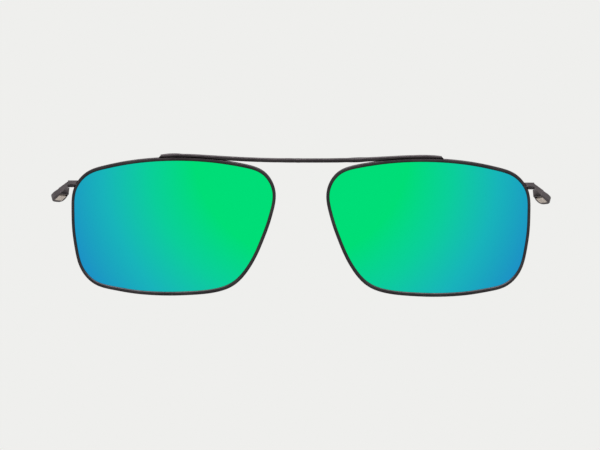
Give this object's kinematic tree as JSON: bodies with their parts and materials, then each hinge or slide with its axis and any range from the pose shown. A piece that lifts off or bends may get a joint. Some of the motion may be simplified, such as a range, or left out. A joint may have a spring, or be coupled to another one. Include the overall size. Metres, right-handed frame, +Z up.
{
  "type": "clip-on sunglasses",
  "caption": "Rigid wire-rimmed mirrored sun lenses on a brow bar, with padded claws that hook over the upper outer corners of a host spectacle frame.",
  "frame": {"origin": "where the middle of the host frame's front meets the clip-on: on the symmetry plane, at mid height of the lenses, level with the rear edge of the rims at the nose", "axes": "+X to the right seen from the front, -Y out through the lenses, +Y towards the wearer, +Z up as worn; left and right in node names are as seen from the front"},
  "size_m": [0.1402, 0.012, 0.0395],
  "materials": {
    "frame": "satin gunmetal",
    "lens": "mirror coated, green at the top inner corner to blue at the lower outer corner",
    "pad": "translucent silicone",
    "screw": "dark plated"
  },
  "bodies": {
    "root": {"rim_left": "frame", "rim_right": "frame", "lens_left": "lens", "lens_right": "lens", "arm_left": "frame", "arm_right": "frame", "claw_pad_left": "pad", "claw_pad_right": "pad", "lock_block_left": "frame", "lock_block_right": "frame", "lock_screw_left": "screw", "lock_screw_right": "screw", "brow_bar": "frame"}
  },
  "joints": []
}
